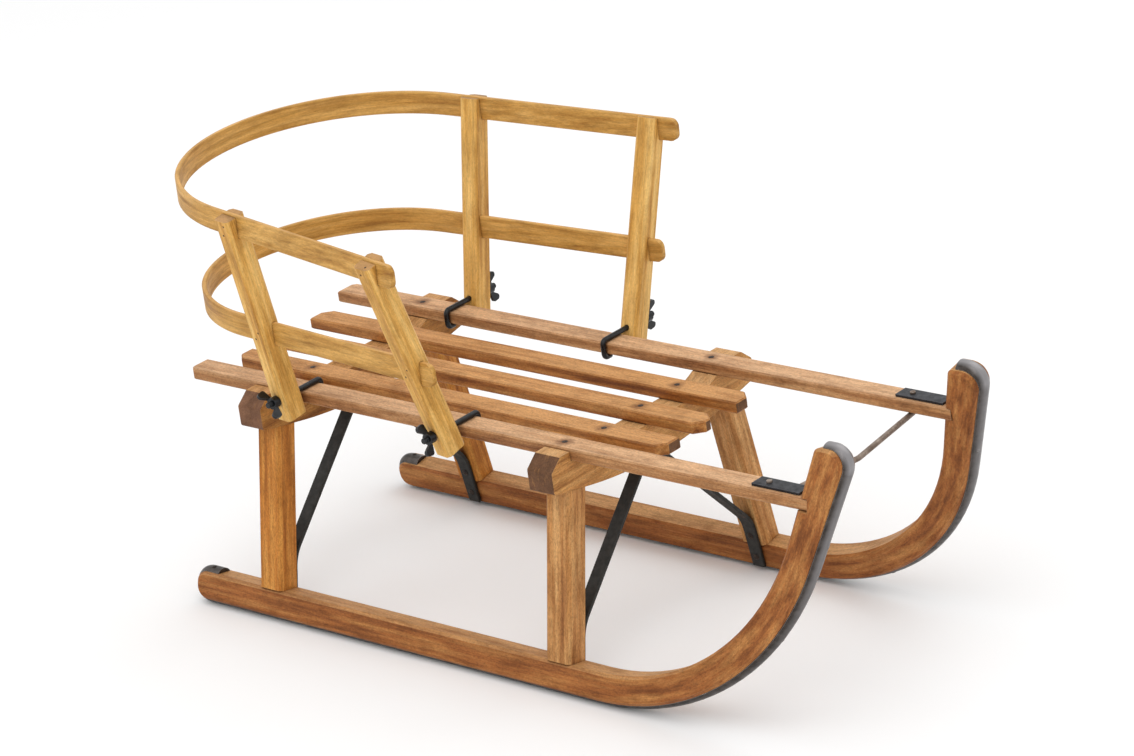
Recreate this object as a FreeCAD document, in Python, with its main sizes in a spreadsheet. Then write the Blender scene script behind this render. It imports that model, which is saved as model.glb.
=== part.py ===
"""A slatted wooden sled with steel-shod runners and a bentwood child's backrest.

The sled stands on its runners, +Z up and +X to the horns, with +Y on the rider's left.
Along X, drawing sizes count from the middle between the two rows of legs. One shift then
brings the middle of the whole sled to X = 0.
"""

import FreeCAD, Part
import math
import os
import Sketcher

LEFT, RIGHT = 1, -1

SIZES = {
    # layout
    "leg_rows_apart": 418.8, "runners_apart": 347.2, "lean_angle": 11.1,
    # runners
    "runner_width": 28.0, "runner_depth": 31.5, "tail_overhang": 116.9, "bend_start": 52.0,
    "bend_radius": 291.5, "horn_angle": 70.0, "horn_back_angle": 73.0, "horn_height": 323.5,
    "tail_round": 14.0, "horn_front_round": 17.0, "horn_back_round": 8.0, "runner_chamfer": 3.0,
    # steel shoes
    "shoe_width": 19.0, "shoe_thickness": 5.0, "shoe_gap": 0.3, "shoe_tab": 17.0,
    # legs and yokes
    "leg_along": 34.5, "leg_across": 29.0, "leg_length": 187.3, "leg_chamfer": 4.0, "tenon_width": 14.0,
    "tenon_length": 15.0, "tenon_gap": 0.2, "yoke_thickness": 33.5, "yoke_belly_radius": 588.0,
    "yoke_depth": 39.4, "yoke_end_reach": 36.6, "ear_width": 15.4, "ear_rise": 10.5, "ear_bevel": 13.0,
    "yoke_round": 4.0, "seat_flat_margin": 10.3,
    # slats
    "slat_thickness": 13.3, "outer_slat_width": 28.4, "outer_slat_rise": 8.6,
    "outer_slat_inset": 1.3, "outer_slat_overhang": 119.7, "inner_slat_width": 29.0,
    "inner_slat_pitch": 62.0, "inner_slat_back": 109.0, "inner_slat_front": 90.5,
    "slat_corner": 11.0, "slat_corner_outer": 5.0, "slat_edge": 1.5, "notch_depth": 10.6,
    "fit_gap": 0.3,
    # horn plates and pull bar
    "plate_length": 60.0, "plate_width": 18.0, "plate_thickness": 3.0, "plate_setback": 13.0,
    "bar_diameter": 6.0, "bar_setback": 57.0, "bar_kink": 18.0, "bar_drop": 4.0,
    "bar_bend_radius": 5.0, "bar_hole_gap": 0.2, "bar_head": 2.0,
    # stays
    "stay_width": 16.0, "stay_thickness": 4.0, "stay_pad": 26.0, "stay_knee": 71.0, "stay_offset": 3.0,
    "stay_foot": 10.0, "stay_edge": 0.6, "stay_knee_radius": 45.0, "stay_pad_radius": 8.0,
    # backrest
    "rear_upright_x": -158.0, "front_upright_x": 72.0, "rear_upright_stand_off": 21.1,
    "front_upright_stand_off": 22.6, "rear_upright_lean": 10.2, "front_upright_lean": 18.0,
    "rear_upright_top": 226.0, "front_upright_top": 219.0, "upright_along": 22.5,
    "upright_across": 26.7, "upright_bottom": 20.0, "upright_chamfer": 3.5,
    "upright_turn": 6.0,
    "hoop_thickness": 5.5, "hoop_height": 26.0, "hoop_edge": 1.0, "hoop_end_round": 9.0,
    "slot_gap": 0.2, "upper_hoop_end": 34.0, "upper_hoop_setback": 117.8,
    "upper_hoop_level": 211.7, "upper_hoop_pitch": 1.7, "upper_hoop_rear_inset": 0.6,
    "upper_hoop_front_inset": 0.4, "lower_hoop_end": 29.0, "lower_hoop_setback": 143.0,
    "lower_hoop_level": 82.2, "lower_hoop_pitch": 0.4, "lower_hoop_rear_inset": 3.1,
    "lower_hoop_front_inset": -1.7,
    # hook bolts and wing nuts
    "hook_diameter": 6.0, "hook_bend_radius": 5.0, "hook_return": 10.0, "hook_tail": 14.0,
    "hook_hole_gap": 0.3, "nut_hub_diameter": 13.0, "nut_hub_length": 8.0, "nut_wing_span": 36.0,
    "nut_wing_height": 17.0, "nut_wing_thickness": 3.4, "rear_right_nut_turn": 45.0,
    "front_right_nut_turn": 72.0, "rear_left_nut_turn": 84.0, "front_left_nut_turn": 96.0, "nut_seat_gap": 0.2, "nut_bore_gap": 0.1,
}

doc = FreeCAD.newDocument("Sled")
sheet = doc.addObject("Spreadsheet::Sheet", "Sizes")
for row, (word, number) in enumerate(SIZES.items(), start=1):
    sheet.set(f"A{row}", word)
    sheet.set(f"B{row}", str(number))
    sheet.setAlias(f"B{row}", word)
doc.recompute()


# ---------------------------------------------------------------- sizes and formulas

class Size:
    """A number together with the sheet formula that gives it."""

    def __init__(self, value, formula):
        self.value = float(value)
        self.formula = formula

    def _join(self, other, sign, value):
        return Size(value, f"({self.formula} {sign} {other.formula})")

    def __add__(self, other):
        other = as_size(other)
        return self._join(other, "+", self.value + other.value)

    def __sub__(self, other):
        other = as_size(other)
        return self._join(other, "-", self.value - other.value)

    def __mul__(self, other):
        other = as_size(other)
        return self._join(other, "*", self.value * other.value)

    def __truediv__(self, other):
        other = as_size(other)
        return self._join(other, "/", self.value / other.value)

    def __neg__(self):
        return Size(-self.value, f"(0 - {self.formula})")


def as_size(number):
    return number if isinstance(number, Size) else Size(number, repr(float(number)))


def size(word):
    return Size(sheet.get(word), f"Sizes.{word}")


def sine(angle):
    return Size(math.sin(math.radians(angle.value)), f"sin({angle.formula})")


def cosine(angle):
    return Size(math.cos(math.radians(angle.value)), f"cos({angle.formula})")


def tangent(angle):
    return Size(math.tan(math.radians(angle.value)), f"tan({angle.formula})")


def root(number):
    return Size(math.sqrt(number.value), f"sqrt({number.formula})")


def smaller(first, second):
    return Size(min(first.value, second.value), f"min({first.formula}; {second.formula})")


class Derived:
    """Sizes worked out from the sheet, kept as named properties that others refer to."""

    def __init__(self):
        self.holder = doc.addObject("App::VarSet", "Derived")

    def keep(self, word, formula_size):
        self.holder.addProperty("App::PropertyFloat", word, "Derived")
        self.holder.setExpression(word, formula_size.formula)
        setattr(self, word, Size(formula_size.value, f"Derived.{word}"))
        return getattr(self, word)


derived = Derived()


# ---------------------------------------------------------------- places that pieces share

lean = size("lean_angle")
gap = size("fit_gap")
runner_y = size("runners_apart") / 2
wood_bottom = size("shoe_thickness") + size("shoe_gap")
horn_angle = size("horn_angle")
half_shoe = size("shoe_width") / 2
half_wood = size("runner_width") / 2

derived.keep("runner_top", wood_bottom + size("runner_depth"))
derived.keep("shoe_crown", (half_shoe * half_shoe + size("shoe_thickness") * size("shoe_thickness"))
             / (size("shoe_thickness") * 2))
derived.keep("runner_lift", derived.shoe_crown * (as_size(1) - cosine(lean)))
derived.keep("leg_top", derived.runner_top + size("leg_length"))
derived.keep("leg_top_y", runner_y - derived.leg_top * sine(lean))
derived.keep("leg_top_z", derived.leg_top * cosine(lean) + derived.runner_lift)
derived.keep("yoke_corner_z", derived.leg_top_z - derived.leg_top_y * tangent(lean))
derived.keep("yoke_belly_z", derived.yoke_corner_z
             + size("yoke_belly_radius") * (as_size(1) / cosine(lean) - 1))
derived.keep("seat_z", derived.yoke_belly_z + size("yoke_depth"))
derived.keep("outer_seat_z", derived.seat_z + size("outer_slat_rise"))
derived.keep("outer_slat_top", derived.outer_seat_z + size("slat_thickness"))
derived.keep("outer_slat_y", runner_y - size("outer_slat_inset")
             - (derived.outer_seat_z + size("slat_thickness") / 2) * tangent(lean))
derived.keep("hook_level", derived.outer_slat_top + size("hook_diameter") / 2 + gap)
derived.keep("leg_row", size("leg_rows_apart") / 2)
derived.keep("tail_x", -derived.leg_row - size("tail_overhang"))
derived.keep("bend_x", derived.leg_row + size("bend_start"))


def horn_front_x(height, offset):
    """X of the horn's front line at a height up the runner, moved out by offset."""
    radius = size("bend_radius")
    rise = height - wood_bottom - radius + (radius + offset) * cosine(horn_angle)
    return derived.bend_x + (radius + offset) * sine(horn_angle) + rise / tangent(horn_angle)


def horn_back_x(height):
    back_angle = size("horn_back_angle")
    radius = size("bend_radius") - size("runner_depth")
    rise = height - wood_bottom - size("bend_radius") + radius * cosine(back_angle)
    return derived.bend_x + radius * sine(back_angle) + rise / tangent(back_angle)


tail_round = smaller(size("tail_round"), size("runner_depth") / 2 - size("runner_chamfer") / 2)
front_round = smaller(size("horn_front_round"), size("runner_depth") - size("horn_back_round")
                      - size("runner_chamfer"))
front_round_x = horn_front_x(size("horn_height") - front_round, 0) - front_round / sine(horn_angle)
derived.keep("front_x", front_round_x + front_round + size("shoe_gap") + size("shoe_thickness"))
derived.keep("outer_slat_edge", derived.outer_slat_y + size("outer_slat_width") / 2)
derived.keep("rear_upright_out", derived.outer_slat_edge + size("rear_upright_stand_off"))
derived.keep("front_upright_out", derived.outer_slat_edge + size("front_upright_stand_off"))
derived.keep("hoop_pivot_x", (size("rear_upright_x") + size("front_upright_x")) / 2)
derived.keep("uprights_apart", size("front_upright_x") - size("rear_upright_x"))
for hoop in ("upper", "lower"):
    rear_y, front_y = [getattr(derived, f"{row}_upright_out") - size(f"{hoop}_hoop_{row}_inset")
                       + size(f"{hoop}_hoop_level") * tangent(size(f"{row}_upright_lean"))
                       for row in ("rear", "front")]
    slope = derived.keep(f"{hoop}_hoop_slope", (front_y - rear_y) / derived.uprights_apart)
    ahead = derived.uprights_apart / 2 - size(f"{hoop}_hoop_setback")
    derived.keep(f"{hoop}_hoop_radius", (rear_y + ahead * slope) / root(slope * slope + 1))
    derived.keep(f"{hoop}_hoop_end_y",
                 front_y + size(f"{hoop}_hoop_end") * slope)

hoop_reach = (size("upper_hoop_setback") + derived.upper_hoop_radius
              + size("hoop_thickness") / 2)
derived.keep("back_x", derived.hoop_pivot_x - hoop_reach * cosine(size("upper_hoop_pitch"))
             - (size("hoop_height") / 2 - size("hoop_edge")) * sine(size("upper_hoop_pitch")))
derived.keep("shift_x", -(derived.front_x + derived.back_x) / 2)
notch_height = derived.outer_seat_z + size("slat_thickness") / 2 - derived.runner_lift
derived.keep("notch_end_x", horn_back_x(notch_height / cosine(lean)) + size("notch_depth"))
derived.keep("slat_front_x", derived.notch_end_x - gap)
derived.keep("bar_x", derived.slat_front_x - size("bar_setback"))
derived.keep("bar_y", derived.outer_slat_y - size("outer_slat_inset") * 2)


# ---------------------------------------------------------------- drawing helpers

def plane(body, role):
    return next(item for item in body.Origin.OriginFeatures if item.Role == role)


def new_body(name):
    body = doc.addObject("PartDesign::Body", name)
    body.Label = name
    return body


def bind(item, path, amount):
    item.setExpression(path, amount.formula)


def place(item, x=0, y=0, z=0, lean_about_x=None, turn=None):
    """Puts a piece in the sled, with its X counted from the middle between the legs."""
    x, y, z = as_size(x) + derived.shift_x, as_size(y), as_size(z)
    axis = FreeCAD.Vector(1, 0, 0)
    angle = lean_about_x if lean_about_x is not None else as_size(0)
    if turn is not None:
        axis, angle = turn
    item.Placement = FreeCAD.Placement(FreeCAD.Vector(x.value, y.value, z.value),
                                       FreeCAD.Rotation(axis, angle.value))
    for letter, amount in zip("xyz", (x, y, z)):
        bind(item, f"Placement.Base.{letter}", amount)
    if angle.value:
        bind(item, "Placement.Rotation.Angle", angle)


def new_sketch(body, name, role, height=None, roll=None, shift=None, roll_axis=(1, 0, 0)):
    """A sketch on one of the body's planes, raised along its normal, or rolled and shifted."""
    sketch = body.newObject("Sketcher::SketchObject", name)
    sketch.AttachmentSupport = [(plane(body, role), "")]
    sketch.MapMode = "FlatFace"
    if roll is not None:
        turn = FreeCAD.Rotation(FreeCAD.Vector(*roll_axis), roll.value)
        sketch.AttachmentOffset = FreeCAD.Placement(FreeCAD.Vector(), turn)
        bind(sketch, "AttachmentOffset.Rotation.Angle", roll)
    if height is not None:
        bind(sketch, "AttachmentOffset.Base.z", height)
    if shift is not None:
        bind(sketch, "AttachmentOffset.Base.y", shift[0])
        bind(sketch, "AttachmentOffset.Base.z", shift[1])
    return sketch


def fasten(sketch, ties):
    """Adds constraints (kind, places, amount) all at once, each amount bound to its formula."""
    made = [Sketcher.Constraint(kind, *places) if amount is None
            else Sketcher.Constraint(kind, *places, amount.value)
            for kind, places, amount in ties]
    for index, (kind, places, amount) in zip(sketch.addConstraint(made), ties):
        if amount is not None:
            bind(sketch, f"Constraints[{index}]", amount)


def point_ties(geometry, end, x, y):
    return [("DistanceX", (-1, 1, geometry, end), as_size(x)),
            ("DistanceY", (-1, 1, geometry, end), as_size(y))]


def draw_corners(sketch, corners, closed=True):
    """Lines through corners (x, y, round), with an arc where a corner is rounded."""
    points = [FreeCAD.Vector(as_size(c[0]).value, as_size(c[1]).value, 0) for c in corners]
    rounds = [c[2] if len(c) > 2 else None for c in corners]
    count = len(corners)
    inner = range(count) if closed else range(1, count - 1)
    leave, arrive, arcs = dict(enumerate(points)), dict(enumerate(points)), {}
    for i in inner:
        if rounds[i] is not None:
            arcs[i] = round_corner(points[i - 1], points[i], points[(i + 1) % count],
                                   rounds[i].value)
            arrive[i], leave[i] = arcs[i][0], arcs[i][2]
    lines = {}
    for i in range(count if closed else count - 1):
        line = Part.LineSegment(leave[i], arrive[(i + 1) % count])
        lines[i] = sketch.addGeometry(line, False)
    ties = []
    for i in range(count):
        x, y = corners[i][0], corners[i][1]
        before = lines.get((i - 1) % count)
        if i in arcs:
            ties += rounded_ties(sketch, arcs[i], before, lines[i], rounds[i], x, y)
        elif i in lines:
            ties += point_ties(lines[i], 1, x, y)
            if before is not None:
                ties.append(("Coincident", (before, 2, lines[i], 1), None))
        else:
            ties += point_ties(before, 2, x, y)
    fasten(sketch, ties)
    return sketch


def round_corner(before, corner, after, radius):
    """The start, middle and end of the arc that rounds a corner."""
    inward, outward = (corner - before).normalize(), (after - corner).normalize()
    turn = inward.getAngle(outward)
    start = corner - inward * radius * math.tan(turn / 2)
    end = corner + outward * radius * math.tan(turn / 2)
    towards = (outward - inward).normalize()
    middle = corner + towards * radius * (1 / math.cos(turn / 2) - 1)
    return start, middle, end


def rounded_ties(sketch, arc, line_in, line_out, radius, x, y):
    """Draws one rounded corner: its arc is tangent to both lines, whose corner stays put."""
    start, middle, end = arc
    centre = Part.Arc(start, middle, end).toShape().Curve.Center
    turns_left = (middle - start).cross(end - middle).z > 0
    low, high = (start, end) if turns_left else (end, start)
    from_angle = math.atan2(low.y - centre.y, low.x - centre.x)
    swing = (low - centre).getAngle(high - centre)
    circle = Part.Circle(centre, FreeCAD.Vector(0, 0, 1), radius.value)
    bend = sketch.addGeometry(Part.ArcOfCircle(circle, from_angle, from_angle + swing), False)
    corner = FreeCAD.Vector(as_size(x).value, as_size(y).value, 0)
    mark = sketch.addGeometry(Part.Point(corner), True)
    first, last = (1, 2) if turns_left else (2, 1)
    return [("Tangent", (line_in, 2, bend, first), None),
            ("Tangent", (bend, last, line_out, 1), None),
            ("Radius", (bend,), radius),
            ("PointOnObject", (mark, 1, line_in), None),
            ("PointOnObject", (mark, 1, line_out), None)] + point_ties(mark, 1, x, y)


def draw_circle(sketch, x, y, radius):
    x, y = as_size(x), as_size(y)
    circle = Part.Circle(FreeCAD.Vector(x.value, y.value, 0), FreeCAD.Vector(0, 0, 1), radius.value)
    index = sketch.addGeometry(circle, False)
    fasten(sketch, [("Radius", (index,), radius)] + point_ties(index, 3, x, y))
    return sketch


def cut_corner_box(across, up, corner, x=0, y=0, turn=None):
    """The corners of a rectangle with its corners cut off, about (x, y), turned in its plane."""
    half_x, half_y = across / 2, up / 2
    outline = [(half_x - corner, -half_y), (half_x, corner - half_y), (half_x, half_y - corner),
               (half_x - corner, half_y), (corner - half_x, half_y), (-half_x, half_y - corner),
               (-half_x, corner - half_y), (corner - half_x, -half_y)]
    if turn is not None:
        outline = [(px * cosine(turn) - py * sine(turn), px * sine(turn) + py * cosine(turn))
                   for px, py in outline]
    return [(px + x, py + y) for px, py in outline]


def pad(body, name, sketch, length, both_ways=False):
    feature = body.newObject("PartDesign::Pad", name)
    feature.Profile = sketch
    feature.SideType = "Symmetric" if both_ways else "One side"
    bind(feature, "Length", length)
    return feature


def pocket(body, name, sketch, length, both_ways=False):
    doc.recompute()
    before = body.Shape.Volume
    feature = body.newObject("PartDesign::Pocket", name)
    feature.Profile = sketch
    feature.SideType = "Symmetric" if both_ways else "One side"
    bind(feature, "Length", length)
    doc.recompute()
    if body.Shape.Volume > before - 1:
        raise RuntimeError(f"{name} cuts nothing from {body.Label}")
    return feature


def pipe(body, name, profile, spine):
    feature = body.newObject("PartDesign::AdditivePipe", name)
    feature.Profile = profile
    feature.Spine = spine
    return feature


def soften(body, name, edges, kind, amount):
    """A fillet or a chamfer on the body's edges that the test picks out."""
    doc.recompute()
    base = body.Tip
    picked = [f"Edge{i}" for i, edge in enumerate(base.Shape.Edges, start=1) if edges(edge)]
    if not picked:
        raise RuntimeError(f"{name} finds no edge on {body.Label}")
    feature = body.newObject(f"PartDesign::{kind}", name)
    feature.Base = (base, picked)
    bind(feature, "Size" if kind == "Chamfer" else "Radius", amount)
    return feature


# ---------------------------------------------------------------- runners and shoes

def runner_corners(offset):
    """The runner's outline, tail first along the bottom, moved outwards by offset."""
    offset = as_size(offset)
    radius = size("bend_radius")
    bottom, top = wood_bottom - offset, derived.runner_top + offset
    tail_x = derived.tail_x - offset
    horn_top = size("horn_height") + offset
    inner_radius = radius - size("runner_depth")
    back_half_angle = size("horn_back_angle") / 2
    return {
        "tail_bottom": (tail_x, bottom, tail_round + offset),
        "bend": (derived.bend_x + (radius + offset) * tangent(horn_angle / 2), bottom,
                 radius + offset),
        "horn_front": (horn_front_x(horn_top, offset), horn_top, front_round + offset),
        "horn_back": (horn_back_x(horn_top), horn_top, size("horn_back_round")),
        "inner_bend": (derived.bend_x + inner_radius * tangent(back_half_angle), top,
                       inner_radius),
        "tail_top": (tail_x, top, tail_round + offset),
    }


def make_runner(name, side):
    body = new_body(name)
    outline = new_sketch(body, "outline", "XZ_Plane")
    draw_corners(outline, list(runner_corners(0).values()))
    pad(body, "bent_wood", outline, size("runner_width"), both_ways=True)
    soften(body, "long_edges", lambda edge: is_outline_edge(edge, size("runner_width")),
           "Chamfer", size("runner_chamfer"))

    notch = new_sketch(body, "slat_notch", "XZ_Plane", roll=lean * (-side))
    low = derived.outer_seat_z - derived.runner_lift - gap
    high = derived.outer_slat_top - derived.runner_lift + gap
    mouth = derived.notch_end_x - size("notch_depth") * 3
    draw_corners(notch, [(mouth, low), (derived.notch_end_x, low), (derived.notch_end_x, high),
                         (mouth, high)])
    pocket(body, "notch", notch, size("runner_width") * 8, both_ways=True)

    mortise = new_sketch(body, "leg_mortises", "XY_Plane", height=derived.runner_top)
    for x in (-derived.leg_row, derived.leg_row):
        half = size("tenon_width") / 2 + size("tenon_gap")
        draw_corners(mortise, [(x - half, -half), (x + half, -half), (x + half, half),
                               (x - half, half)])
    pocket(body, "mortises", mortise, size("tenon_length") + size("tenon_gap"))
    place(body, y=runner_y * side, z=derived.runner_lift, lean_about_x=lean * side)
    return body


def is_outline_edge(edge, width):
    """True for an edge that lies in either flat side of a piece padded along Y."""
    half = width.value / 2
    return all(abs(abs(vertex.Y) - half) < 1e-4 for vertex in edge.Vertexes) and (
        abs(edge.Vertexes[0].Y - edge.Vertexes[-1].Y) < 1e-4)


def make_shoe(name, side):
    """A half-oval steel strip, round the tail, along the bottom and over the horn."""
    body = new_body(name)
    corners = runner_corners(size("shoe_gap"))
    tab_x = derived.tail_x + tail_round + size("shoe_tab")
    tab_level = corners["tail_top"][1]
    end_x = corners["horn_back"][0] + size("horn_back_round")
    route = new_sketch(body, "route", "XZ_Plane")
    draw_corners(route, [(tab_x, tab_level), corners["tail_top"], corners["tail_bottom"],
                         corners["bend"], corners["horn_front"],
                         (end_x, corners["horn_front"][1])], closed=False)
    section = new_sketch(body, "section", "YZ_Plane", height=tab_x)
    draw_half_oval(section, tab_level)
    pipe(body, "strip", section, route)
    place(body, y=runner_y * side, z=derived.runner_lift, lean_about_x=lean * side)
    return body


def draw_half_oval(sketch, level):
    """The strip's section: a flat against the wood and a crowned outside."""
    crown = size("shoe_thickness")
    ends = [FreeCAD.Vector(s * half_shoe.value, level.value, 0) for s in (1, -1)]
    top = FreeCAD.Vector(0, level.value + crown.value, 0)
    arc = sketch.addGeometry(Part.Arc(ends[0], top, ends[1]), False)
    flat = sketch.addGeometry(Part.LineSegment(ends[1], ends[0]), False)
    fasten(sketch, [("Coincident", (arc, 2, flat, 1), None),
                    ("Coincident", (arc, 1, flat, 2), None),
                    ("Radius", (arc,), derived.shoe_crown)]
           + point_ties(flat, 1, -half_shoe, level) + point_ties(flat, 2, half_shoe, level))


# ---------------------------------------------------------------- legs and yokes

def make_leg(name, row_x, side):
    body = new_body(name)
    section = new_sketch(body, "section", "XY_Plane", height=derived.runner_top)
    draw_corners(section, cut_corner_box(size("leg_along"), size("leg_across"),
                                         size("leg_chamfer")))
    pad(body, "post", section, size("leg_length"))
    half = size("tenon_width") / 2
    tenon = new_sketch(body, "tenon_section", "XY_Plane",
                       height=derived.runner_top - size("tenon_length"))
    draw_corners(tenon, [(-half, -half), (half, -half), (half, half), (-half, half)])
    pad(body, "tenons", tenon, size("leg_length") + size("tenon_length") * 2)
    place(body, x=row_x, y=runner_y * side, z=derived.runner_lift, lean_about_x=lean * side)
    return body


def make_yoke(name, row_x):
    """The cross-piece that the slats lie on, with an ear outside each outer slat."""
    body = new_body(name)
    end_y = derived.leg_top_y + size("yoke_end_reach")
    end_z = derived.yoke_corner_z + end_y * tangent(lean)
    seat_out = derived.outer_slat_y + size("outer_slat_width") / 2 + gap
    seat_in = derived.outer_slat_y - size("outer_slat_width") / 2 - gap
    ear_z = derived.outer_seat_z + size("ear_rise")
    flat_end = size("inner_slat_pitch") + size("inner_slat_width") / 2 + size("seat_flat_margin")
    round_edge = size("yoke_round")
    half = [(end_y, end_z, round_edge), (end_y, ear_z - size("ear_bevel"), round_edge),
            (seat_out + size("ear_width"), ear_z, round_edge),
            (seat_out, ear_z), (seat_out, derived.outer_seat_z), (seat_in, derived.outer_seat_z),
            (flat_end, derived.seat_z)]
    other = [(-corner[0], *corner[1:]) for corner in reversed(half)]
    outline = new_sketch(body, "outline", "YZ_Plane")
    draw_corners(outline, [(as_size(0), derived.yoke_corner_z, size("yoke_belly_radius"))]
                 + half + other)
    pad(body, "cross_piece", outline, size("yoke_thickness"), both_ways=True)
    mortise_half = size("tenon_width") / 2 + size("tenon_gap")
    reach = derived.leg_top + size("tenon_length") + size("tenon_gap")
    for side, word in ((LEFT, "left"), (RIGHT, "right")):
        section = new_sketch(body, f"mortise_section_{word}", "XY_Plane", roll=lean * side,
                             shift=((runner_y - reach * sine(lean)) * side,
                                    reach * cosine(lean) + derived.runner_lift))
        draw_corners(section, [(-mortise_half, -mortise_half), (mortise_half, -mortise_half),
                               (mortise_half, mortise_half), (-mortise_half, mortise_half)])
        pocket(body, f"mortise_{word}", section, size("tenon_length") * 3)
    place(body, x=row_x)
    return body


# ---------------------------------------------------------------- slats

def make_slat(name, y, width, back_x, front_x, top, corners):
    """A seat slat; corners gives the cut of its outline's four corners, tail end first."""
    body = new_body(name)
    half = width / 2
    back_right, front_right, front_left, back_left = corners
    outline = [(back_x, -half + back_right), (back_x + back_right, -half),
               (front_x - front_right, -half), (front_x, -half + front_right),
               (front_x, half - front_left), (front_x - front_left, half),
               (back_x + back_left, half), (back_x, half - back_left)]
    plan = new_sketch(body, "plan", "XY_Plane", height=-size("slat_thickness"))
    draw_corners(plan, drop_repeats(outline))
    pad(body, "board", plan, size("slat_thickness"))
    soften(body, "edges", lambda edge: is_level_edge(edge), "Chamfer", size("slat_edge"))
    place(body, y=y, z=top)
    return body


def drop_repeats(outline):
    """The outline without a corner that lies on the one before it."""
    kept = []
    for corner in outline:
        x, y = as_size(corner[0]).value, as_size(corner[1]).value
        if not kept or math.hypot(x - kept[-1][2], y - kept[-1][3]) > 1e-6:
            kept.append((*corner, x, y))
    return [(x, y) for x, y, *_ in kept]


def is_level_edge(edge):
    return abs(edge.Vertexes[0].Z - edge.Vertexes[-1].Z) < 1e-6


def drill(body, name, x, radius):
    """A hole down through a slat or plate at x on its centre line."""
    sketch = new_sketch(body, name + "_circle", "XY_Plane", height=size("plate_thickness") * 4)
    draw_circle(sketch, x, 0, radius)
    pocket(body, name, sketch, size("slat_thickness") * 4)


def make_slats():
    none, outer_cut = as_size(0), size("slat_corner_outer")
    cut = size("slat_corner")
    outer_back = -derived.leg_row - size("outer_slat_overhang")
    slats = []
    for word, side in (("left", LEFT), ("right", RIGHT)):
        cuts = (none, none, none, outer_cut) if side == LEFT else (outer_cut, none, none, none)
        slat = make_slat(f"slat_outer_{word}", derived.outer_slat_y * side,
                         size("outer_slat_width"), outer_back, derived.slat_front_x,
                         derived.outer_slat_top, cuts)
        drill(slat, "bar_hole", derived.bar_x, size("bar_diameter") / 2 + size("bar_hole_gap"))
        slats.append(slat)
    back = -derived.leg_row - size("inner_slat_back")
    front = derived.leg_row + size("inner_slat_front")
    rows = (("slat_inner_left", 1, (none, none, cut, cut)), ("slat_middle", 0, (cut,) * 4),
            ("slat_inner_right", -1, (cut, cut, none, none)))
    for name, step, cuts in rows:
        slats.append(make_slat(name, size("inner_slat_pitch") * step, size("inner_slat_width"),
                               back, front, derived.seat_z + size("slat_thickness"), cuts))
    return slats


# ---------------------------------------------------------------- plates, pull bar, stays

def make_plate(name, side):
    body = new_body(name)
    front = derived.slat_front_x - size("plate_setback")
    back = front - size("plate_length")
    plan = new_sketch(body, "plan", "XY_Plane")
    half = size("plate_width") / 2
    draw_corners(plan, [(back, -half), (front, -half), (front, half), (back, half)])
    pad(body, "iron", plan, size("plate_thickness"))
    drill(body, "bar_hole", derived.bar_x, size("bar_diameter") / 2 + size("bar_hole_gap"))
    place(body, y=derived.outer_slat_y * side, z=derived.outer_slat_top)
    return body


def make_pull_bar(name):
    """One bent rod: up through both outer slats and across, with a kink forward in the middle."""
    radius = sheet.get("bar_diameter") / 2
    bend = sheet.get("bar_bend_radius")
    top = derived.outer_slat_top.value + sheet.get("plate_thickness") + sheet.get("bar_head")
    low = derived.outer_seat_z.value - sheet.get("bar_drop")
    x, y = derived.bar_x.value, derived.outer_slat_y.value
    corners = [FreeCAD.Vector(x, -y, top), FreeCAD.Vector(x, -y, low),
               FreeCAD.Vector(x + sheet.get("bar_kink"), 0, low), FreeCAD.Vector(x, y, low),
               FreeCAD.Vector(x, y, top)]
    edges, last = [], corners[0]
    for before, corner, after in zip(corners, corners[1:], corners[2:]):
        start, middle, end = round_corner(before, corner, after, bend)
        edges += [Part.LineSegment(last, start).toShape(), Part.Arc(start, middle, end).toShape()]
        last = end
    edges.append(Part.LineSegment(last, corners[-1]).toShape())
    route = Part.Wire(edges)
    ring = Part.Wire(Part.makeCircle(radius, corners[0], FreeCAD.Vector(0, 0, 1)))
    rod = route.makePipeShell([ring], True, False)
    bar = doc.addObject("Part::Feature", name)
    bar.Label = name
    bar.Shape = rod
    place(bar)
    return bar


def make_stay(name, row_x):
    """A flat iron bent to a V: a pad under the yoke and a foot on each runner's inner face."""
    body = new_body(name)
    half_thick = size("stay_thickness") / 2
    inner = size("leg_across") / 2 + half_thick + gap
    pad_z = derived.yoke_belly_z - half_thick - gap / 2

    def on_runner(height):
        return (runner_y - height * sine(lean) - inner * cosine(lean),
                height * cosine(lean) - inner * sine(lean) + derived.runner_lift)

    knee, foot = on_runner(size("stay_knee")), on_runner(size("stay_foot"))
    half = [(size("stay_pad") / 2, pad_z, size("stay_pad_radius")),
            (*knee, size("stay_knee_radius")), foot]
    other = [(-corner[0], *corner[1:]) for corner in reversed(half)]
    route = new_sketch(body, "route", "YZ_Plane")
    draw_corners(route, other + half, closed=False)
    section = new_sketch(body, "section", "XY_Plane", roll=lean * RIGHT,
                         shift=(-foot[0], foot[1]))
    draw_corners(section, cut_corner_box(size("stay_width"), size("stay_thickness"),
                                         size("stay_edge")))
    pipe(body, "flat_iron", section, route)
    place(body, x=row_x + size("stay_offset"))
    return body


# ---------------------------------------------------------------- backrest

def upright_place(row):
    """A row's own sizes: place along the sled, distance out and lean of its uprights."""
    out = getattr(derived, f"{row}_upright_out")
    return size(f"{row}_upright_x"), out, size(f"{row}_upright_lean")


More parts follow.
